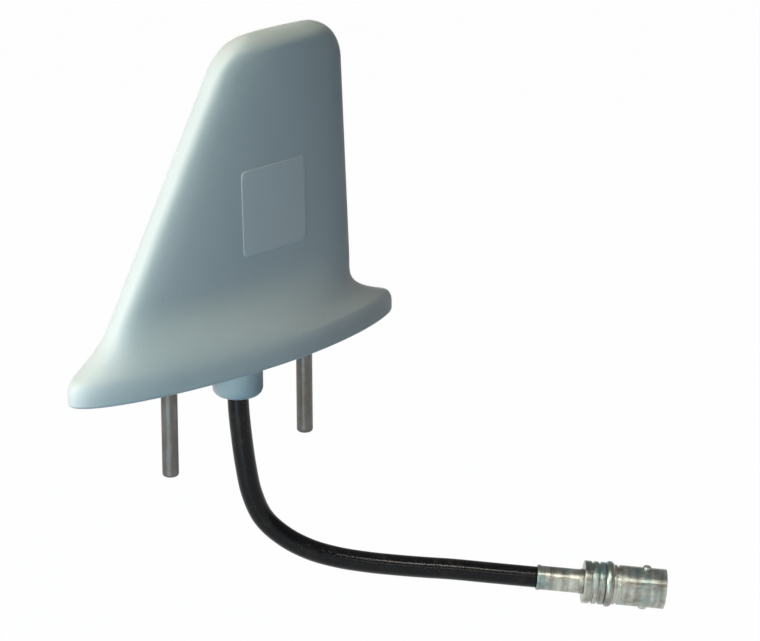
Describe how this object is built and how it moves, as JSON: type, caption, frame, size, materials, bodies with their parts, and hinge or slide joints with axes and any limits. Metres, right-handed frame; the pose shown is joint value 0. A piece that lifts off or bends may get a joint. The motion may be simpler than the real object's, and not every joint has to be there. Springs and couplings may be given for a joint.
{
  "type": "aircraft blade antenna",
  "caption": "Swept white blade antenna on a boat-shaped base with mounting studs and a short coaxial pigtail ending in a bayonet connector.",
  "frame": {"origin": "on the mounting face, at the axis of the cable boss, midway between the two studs", "axes": "+Z away from the aircraft skin towards the blade's tip, nose towards -X, tail towards +X"},
  "size_m": [0.1317, 0.0878, 0.1457],
  "materials": {
    "radome_paint": "satin",
    "plate_metal": "satin",
    "stud_steel": "satin",
    "boss_plastic": "satin",
    "sheet_brass": "satin",
    "support_plastic": "matte",
    "braid_metal": "satin",
    "dielectric": "matte",
    "conductor_copper": "satin",
    "cable_jacket": "satin",
    "plated_brass": "gloss"
  },
  "bodies": {
    "root": {"radome": "radome_paint", "base_plate": "plate_metal", "mounting_studs": "stud_steel", "cable_boss": "boss_plastic", "ground_lug": "sheet_brass", "feed_braid": "braid_metal", "feed_dielectric": "dielectric", "feed_conductor": "conductor_copper", "element_supports": "support_plastic", "radiating_element": "sheet_brass", "coax_cable": "cable_jacket", "crimp_ferrule": "plated_brass", "connector_braid": "braid_metal", "connector_dielectric": "dielectric", "connector_conductor": "conductor_copper", "connector_body": "plated_brass", "bayonet_pins": "plated_brass", "connector_insulator": "dielectric", "socket_contact": "sheet_brass"}
  },
  "joints": []
}
